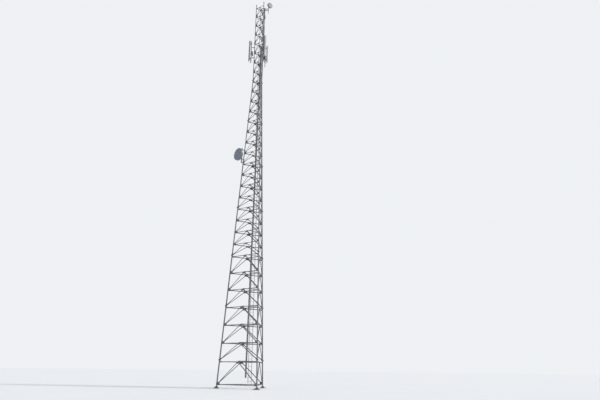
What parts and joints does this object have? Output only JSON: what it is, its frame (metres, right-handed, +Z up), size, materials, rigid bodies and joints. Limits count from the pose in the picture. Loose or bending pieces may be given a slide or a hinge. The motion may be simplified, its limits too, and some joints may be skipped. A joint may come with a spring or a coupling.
{
  "type": "cell tower",
  "caption": "Triangular lattice steel mast with tubular legs, chevron angle bracing, climbing ladder, cable run, microwave dishes and sector panel antennas.",
  "frame": {"origin": "centre of the underside of the left leg's base plate, on the ground plane", "axes": "+Z up; +X horizontal from the left leg to the mast's vertical axis, which stands at x = 2.42 m, y = 0; +Y completes the right-handed frame, away from the picture's camera"},
  "size_m": [4.1742, 4.82, 38.98],
  "materials": {
    "galvanised_leg": "hot-dip galvanised, matt grey, weathered",
    "galvanised_angle": "hot-dip galvanised, matt grey, weathered",
    "galvanised_fitting": "hot-dip galvanised, matt grey",
    "antenna_shell": "light grey reinforced plastic shell, slightly chalky",
    "dish_shell": "light grey painted aluminium, matt",
    "dish_cover": "pale grey cover, matt",
    "radio_case": "light grey powder coat, matt",
    "cable_jacket": "black cable jacket, satin"
  },
  "bodies": {
    "root": {"leg_left_lower": "galvanised_leg", "leg_left_middle": "galvanised_leg", "leg_left_upper": "galvanised_leg", "leg_left_top": "galvanised_leg", "leg_front_lower": "galvanised_leg", "leg_front_middle": "galvanised_leg", "leg_front_upper": "galvanised_leg", "leg_front_top": "galvanised_leg", "leg_rear_lower": "galvanised_leg", "leg_rear_middle": "galvanised_leg", "leg_rear_upper": "galvanised_leg", "leg_rear_top": "galvanised_leg", "bracing_front_lower": "galvanised_angle", "bracing_front_middle": "galvanised_angle", "bracing_front_upper": "galvanised_angle", "bracing_front_top": "galvanised_angle", "bracing_right_lower": "galvanised_angle", "bracing_right_middle": "galvanised_angle", "bracing_right_upper": "galvanised_angle", "bracing_right_top": "galvanised_angle", "bracing_rear_lower": "galvanised_angle", "bracing_rear_middle": "galvanised_angle", "bracing_rear_upper": "galvanised_angle", "bracing_rear_top": "galvanised_angle", "plan_bracing_lower": "galvanised_angle", "plan_bracing_upper": "galvanised_angle", "ladder_lower": "galvanised_fitting", "ladder_middle": "galvanised_fitting", "ladder_top": "galvanised_fitting", "cable_ladder": "galvanised_fitting", "feeder_cables": "cable_jacket", "large_dish": "dish_shell", "large_dish_cover": "dish_cover", "large_dish_mount": "galvanised_fitting", "small_dish": "dish_shell", "small_dish_cover": "dish_cover", "small_dish_mount": "galvanised_fitting", "pole_mount_left": "galvanised_fitting", "pole_mount_front": "galvanised_fitting", "pole_mount_rear": "galvanised_fitting", "panel_left": "antenna_shell", "panel_front": "antenna_shell", "panel_rear": "antenna_shell", "remote_radios": "radio_case", "small_antenna": "antenna_shell"}
  },
  "joints": []
}
